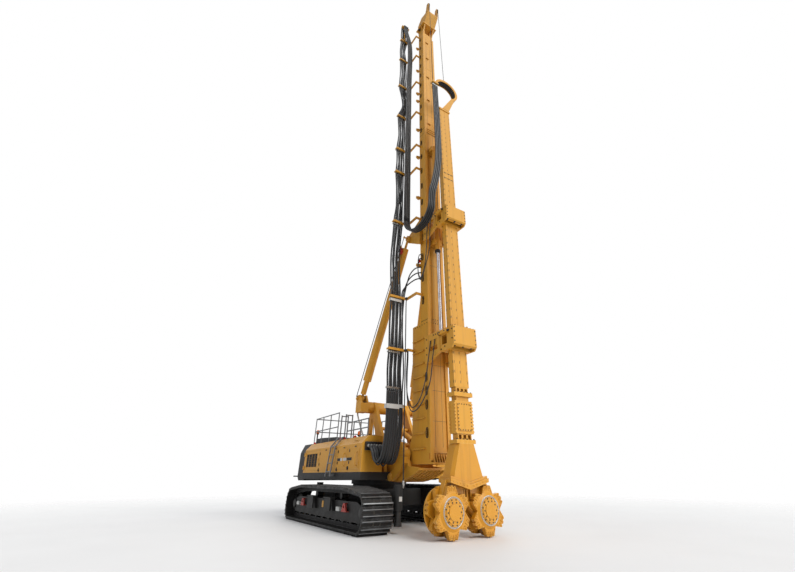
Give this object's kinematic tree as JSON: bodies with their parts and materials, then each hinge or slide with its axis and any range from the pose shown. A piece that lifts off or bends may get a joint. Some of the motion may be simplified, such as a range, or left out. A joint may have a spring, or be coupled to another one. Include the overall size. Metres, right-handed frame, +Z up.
{
  "type": "crawler-mounted soil-mixing rig with a twin-wheel cutter on a guided bar",
  "caption": "Crawler-mounted piling rig with a tall mast, guided bar and twin-wheel soil-mixing cutter at its foot; slewing house, backstay cylinders and looped hoses.",
  "frame": {"origin": "on the ground under the slewing axis, which is the middle of the overall length and width", "axes": "+X forward towards the cutter, +Y to the machine's left, +Z up"},
  "size_m": [11.2, 4.8, 29.46],
  "materials": {
    "yellow_paint": "satin",
    "black_paint": "satin",
    "dark_steel": "satin",
    "track_steel": "matte",
    "cast_weight": "matte",
    "red_paint": "satin",
    "hose_rubber": "matte",
    "window_glass": "gloss",
    "seat_cover": "matte",
    "orange_lens": "gloss",
    "chrome_rod": "polished"
  },
  "bodies": {
    "undercarriage": {"car_body": "black_paint", "slew_ring": "dark_steel", "side_frame_right": "black_paint", "side_frame_left": "black_paint", "track_right": "track_steel", "track_left": "track_steel", "track_wheels_right": "dark_steel", "track_wheels_left": "dark_steel", "lashing_eyes": "red_paint"},
    "jack_front_right": {"jack_foot_front_right": "dark_steel"},
    "jack_front_left": {"jack_foot_front_left": "dark_steel"},
    "jack_rear_right": {"jack_foot_rear_right": "dark_steel"},
    "jack_rear_left": {"jack_foot_rear_left": "dark_steel"},
    "upper": {"platform": "black_paint", "rear_platform": "black_paint", "counterweight": "cast_weight", "house_shell": "yellow_paint", "engine_block": "dark_steel", "cooler_cover": "dark_steel", "roof_rails": "dark_steel", "ladder": "dark_steel", "beacons": "orange_lens", "cab_shell": "yellow_paint", "cab_glass": "window_glass", "cab_seat": "seat_cover", "gantry": "yellow_paint", "front_bracket": "yellow_paint", "luff_cylinders": "yellow_paint", "hose_manifold": "dark_steel", "hose_swag": "hose_rubber"},
    "side_door": {"house_door": "yellow_paint"},
    "cab_entry": {"cab_door": "yellow_paint", "cab_door_glass": "window_glass"},
    "mast": {"mast_lower": "yellow_paint", "mast_upper": "yellow_paint", "mast_head": "yellow_paint", "head_sheaves": "dark_steel", "feed_barrel": "yellow_paint", "upper_guide": "yellow_paint", "hose_arms": "yellow_paint", "mast_hoses": "hose_rubber", "hose_loop": "hose_rubber"},
    "stay_tube_right": {"stay_barrel_right": "yellow_paint"},
    "stay_tube_left": {"stay_barrel_left": "yellow_paint"},
    "stay_piston_right": {"stay_rod_right": "yellow_paint"},
    "stay_piston_left": {"stay_rod_left": "yellow_paint"},
    "sledge": {"sledge_clamp": "yellow_paint", "feed_rod": "chrome_rod"},
    "bar": {"bar_tube": "yellow_paint", "gooseneck": "yellow_paint", "bar_coupling": "yellow_paint", "cutter_frame": "yellow_paint"},
    "wheel_right": {"cutter_wheel_right": "yellow_paint"},
    "wheel_left": {"cutter_wheel_left": "yellow_paint"}
  },
  "joints": [
    {"name": "slew", "type": "hinge", "parent": "undercarriage", "child": "upper", "pos_m": [0, 0, 1.3], "axis": [0, 0, 1], "continuous": true},
    {"name": "jack_front_right_slide", "type": "slide", "parent": "undercarriage", "child": "jack_front_right", "axis": [0, 0, -1], "range_m": [0, 0.4]},
    {"name": "jack_front_left_slide", "type": "slide", "parent": "undercarriage", "child": "jack_front_left", "axis": [0, 0, -1], "range_m": [0, 0.4]},
    {"name": "jack_rear_right_slide", "type": "slide", "parent": "undercarriage", "child": "jack_rear_right", "axis": [0, 0, -1], "range_m": [0, 0.4]},
    {"name": "jack_rear_left_slide", "type": "slide", "parent": "undercarriage", "child": "jack_rear_left", "axis": [0, 0, -1], "range_m": [0, 0.4]},
    {"name": "side_door_hinge", "type": "hinge", "parent": "upper", "child": "side_door", "pos_m": [-3.59, -1.83, 2], "axis": [0, 0, -1], "range_deg": [0, 110]},
    {"name": "cab_door_hinge", "type": "hinge", "parent": "upper", "child": "cab_entry", "pos_m": [0.95, 2.01, 2.2], "axis": [0, 0, 1], "range_deg": [0, 100]},
    {"name": "mast_luff", "type": "hinge", "parent": "upper", "child": "mast", "pos_m": [2.75, 0, 2.06], "axis": [0, 1, 0], "range_deg": [-8, 5], "deforming": ["hose_swag"]},
    {"name": "stay_swing_right", "type": "hinge", "parent": "mast", "child": "stay_tube_right", "pos_m": [2.85, -0.62, 10.6], "axis": [0, 1, 0], "range_deg": [-2, 1.5]},
    {"name": "stay_stroke_right", "type": "slide", "parent": "stay_tube_right", "child": "stay_piston_right", "axis": [-0.344, -0.0825, -0.9353], "range_m": [-0.45, 0.3]},
    {"name": "stay_swing_left", "type": "hinge", "parent": "mast", "child": "stay_tube_left", "pos_m": [2.85, 0.62, 10.6], "axis": [0, 1, 0], "range_deg": [-2, 1.5]},
    {"name": "stay_stroke_left", "type": "slide", "parent": "stay_tube_left", "child": "stay_piston_left", "axis": [-0.344, 0.0825, -0.9353], "range_m": [-0.45, 0.3]},
    {"name": "feed", "type": "slide", "parent": "mast", "child": "sledge", "axis": [0, 0, 1], "range_m": [-1, 3.2], "deforming": ["hose_loop"]},
    {"name": "bar_slide", "type": "slide", "parent": "sledge", "child": "bar", "axis": [0, 0, 1], "range_m": [-5.4, 0.9], "deforming": ["hose_loop"]},
    {"name": "wheel_right_spin", "type": "hinge", "parent": "bar", "child": "wheel_right", "pos_m": [5.09, -0.645, 0.612], "axis": [1, 0, 0], "continuous": true},
    {"name": "wheel_left_spin", "type": "hinge", "parent": "bar", "child": "wheel_left", "pos_m": [5.09, 0.645, 0.612], "axis": [1, 0, 0], "continuous": true}
  ],
  "couplings": [
    {"joint": "stay_swing_right", "follows": "mast_luff", "ratio": 0.1615},
    {"joint": "stay_stroke_right", "follows": "mast_luff", "m_per_rad": 2.8186},
    {"joint": "stay_swing_left", "follows": "mast_luff", "ratio": 0.1615},
    {"joint": "stay_stroke_left", "follows": "mast_luff", "m_per_rad": 2.8186}
  ]
}
